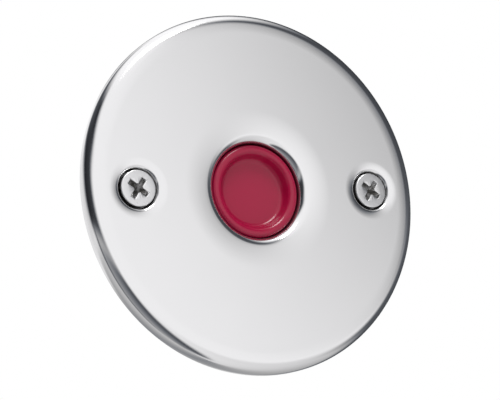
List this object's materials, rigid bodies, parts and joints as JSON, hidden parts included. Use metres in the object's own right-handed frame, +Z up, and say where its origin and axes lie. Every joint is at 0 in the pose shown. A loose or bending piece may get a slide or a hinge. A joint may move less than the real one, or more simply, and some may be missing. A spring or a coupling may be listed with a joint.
{
  "type": "pneumatic push button",
  "caption": "Round steel wall plate with a dished red push button that pumps a bellows and sends a puff of air down a hose.",
  "frame": {"origin": "the wall plane, where the button's axis meets it", "axes": "+Y along the button's axis into the wall, +Z up, +X to the right seen from the front"},
  "size_m": [0.095, 0.0625, 0.095],
  "materials": {
    "cover_steel": "fine satin",
    "screw_steel": "polished",
    "plated_steel": "zinc plated",
    "nickel_brass": "turned",
    "red_plastic": "glossy crimson",
    "black_plastic": "moulded",
    "white_nylon": "natural",
    "black_rubber": "matt"
  },
  "bodies": {
    "unit": {"cover_plate": "cover_steel", "cover_screws": "screw_steel", "screw_retainers": "white_nylon", "carrier_plate": "black_plastic", "wall_gasket": "black_rubber", "button_housing": "black_plastic", "flange_gasket": "black_rubber", "lock_washer": "plated_steel", "lock_nut": "black_plastic", "wiper_seal": "black_rubber", "return_spring": "plated_steel", "bellows": "black_rubber", "stop_sleeve": "white_nylon", "chamber_base": "black_plastic", "base_ring": "black_rubber", "hose_nipple": "nickel_brass", "nipple_seal": "black_rubber", "hose_nut": "nickel_brass"},
    "button": {"push_button": "red_plastic", "plunger": "white_nylon", "plunger_screw": "screw_steel", "spring_washer": "plated_steel"}
  },
  "joints": [
    {"name": "button_press", "type": "slide", "parent": "unit", "child": "button", "axis": [0, 1, 0], "range_m": [0, 0.004], "stiffness_N_per_m": 1500, "springref_m": -0.002, "deforming": ["return_spring", "bellows"]}
  ]
}
